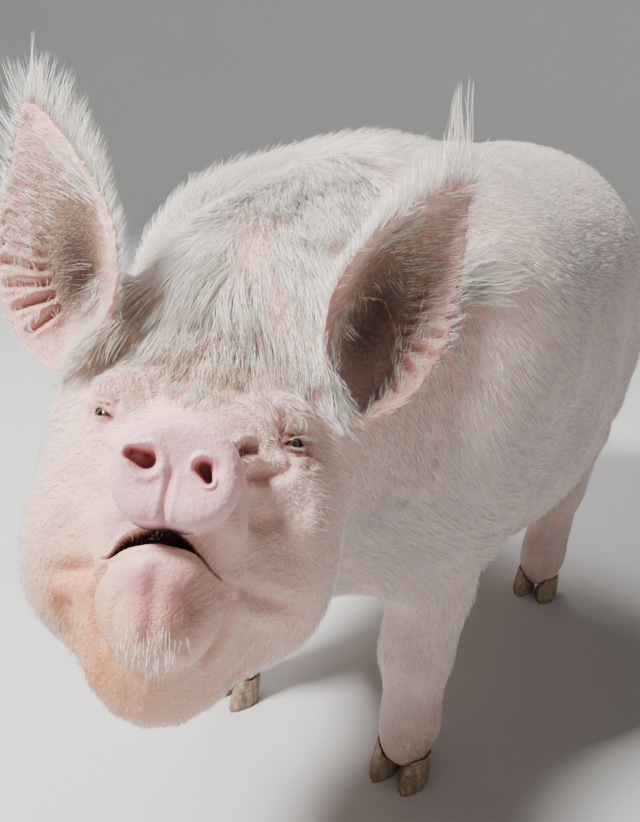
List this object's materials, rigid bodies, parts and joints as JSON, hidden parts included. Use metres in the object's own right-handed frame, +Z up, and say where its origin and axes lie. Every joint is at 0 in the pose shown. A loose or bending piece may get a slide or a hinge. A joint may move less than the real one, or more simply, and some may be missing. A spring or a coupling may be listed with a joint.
{
  "type": "pig",
  "caption": "Full-grown white domestic pig standing in a slow walk, head lifted and turned to its left, with upright ears and a long shaggy coat; a still, life-size model.",
  "frame": {"origin": "middle of the outline's bounding box on the floor, at the level of the soles", "axes": "+Z up, -Y the way the body faces, +X to the pig's own left"},
  "size_m": [0.6496, 1.7088, 1.0552],
  "materials": {
    "skin": "soft pink hide under a thin coat of long white and cream bristles, with tan dirt between the eyes",
    "nose": "bare pink nose disc, finely grained and slightly moist, with soil in the creases",
    "ear": "thin bare pink-brown skin inside, white hair along the rims and a long lock at the tip",
    "hoof": "dull grey-brown horn with growth rings and worn, muddy edges",
    "eye": "wet, very dark brown eye"
  },
  "bodies": {
    "root": {"head": "skin", "snout": "nose", "lower_jaw": "skin", "neck": "skin", "leg_front_left": "skin", "claw_front_left_inner": "hoof", "dewclaw_front_left_inner": "hoof", "claw_front_left_outer": "hoof", "dewclaw_front_left_outer": "hoof", "leg_front_right": "skin", "claw_front_right_inner": "hoof", "dewclaw_front_right_inner": "hoof", "claw_front_right_outer": "hoof", "dewclaw_front_right_outer": "hoof", "leg_hind_left": "skin", "claw_hind_left_inner": "hoof", "dewclaw_hind_left_inner": "hoof", "claw_hind_left_outer": "hoof", "dewclaw_hind_left_outer": "hoof", "leg_hind_right": "skin", "claw_hind_right_inner": "hoof", "dewclaw_hind_right_inner": "hoof", "claw_hind_right_outer": "hoof", "dewclaw_hind_right_outer": "hoof", "trunk": "skin", "tail": "skin", "ear_left": "ear", "eye_left": "eye", "ear_right": "ear", "eye_right": "eye"}
  },
  "joints": []
}
